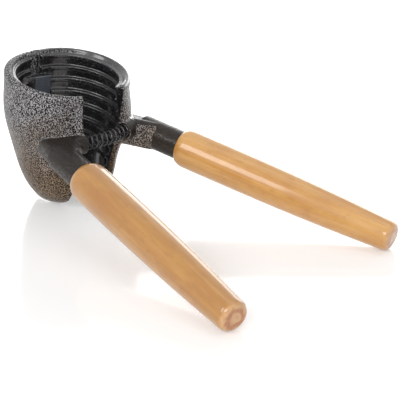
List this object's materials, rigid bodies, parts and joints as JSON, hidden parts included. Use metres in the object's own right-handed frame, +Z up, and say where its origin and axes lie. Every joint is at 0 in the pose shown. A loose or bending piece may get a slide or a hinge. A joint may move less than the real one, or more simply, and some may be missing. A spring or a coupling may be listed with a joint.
{
  "type": "nutcracker",
  "caption": "Hand nutcracker: two hinged half cups with ribs inside, squeezed by long wooden grips and opened by a spring between the arms.",
  "frame": {"origin": "centre of the bounding box at the surface that the tool lies on", "axes": "+X from the hinge to the tips of the grips, +Y from the front jaw to the rear jaw, +Z up"},
  "size_m": [0.2044, 0.1182, 0.0718],
  "materials": {
    "casting_paint": "dark grey hammertone enamel",
    "pin_steel": "plain dark steel",
    "spring_steel": "oiled spring wire",
    "lacquered_wood": "clear lacquer on pale turned wood"
  },
  "bodies": {
    "rear_half": {"jaw_rear": "casting_paint", "hinge_pin": "pin_steel", "return_spring": "spring_steel", "handle_rear": "lacquered_wood"},
    "front_half": {"jaw_front": "casting_paint", "handle_front": "lacquered_wood"}
  },
  "joints": [
    {"name": "jaw_pivot", "type": "hinge", "parent": "rear_half", "child": "front_half", "pos_m": [-0.09473, 0, 0.0462], "axis": [0.2089, 0, 0.9779], "range_deg": [-5, 21.5], "stiffness_Nm_per_rad": 6, "deforming": ["return_spring"]}
  ]
}
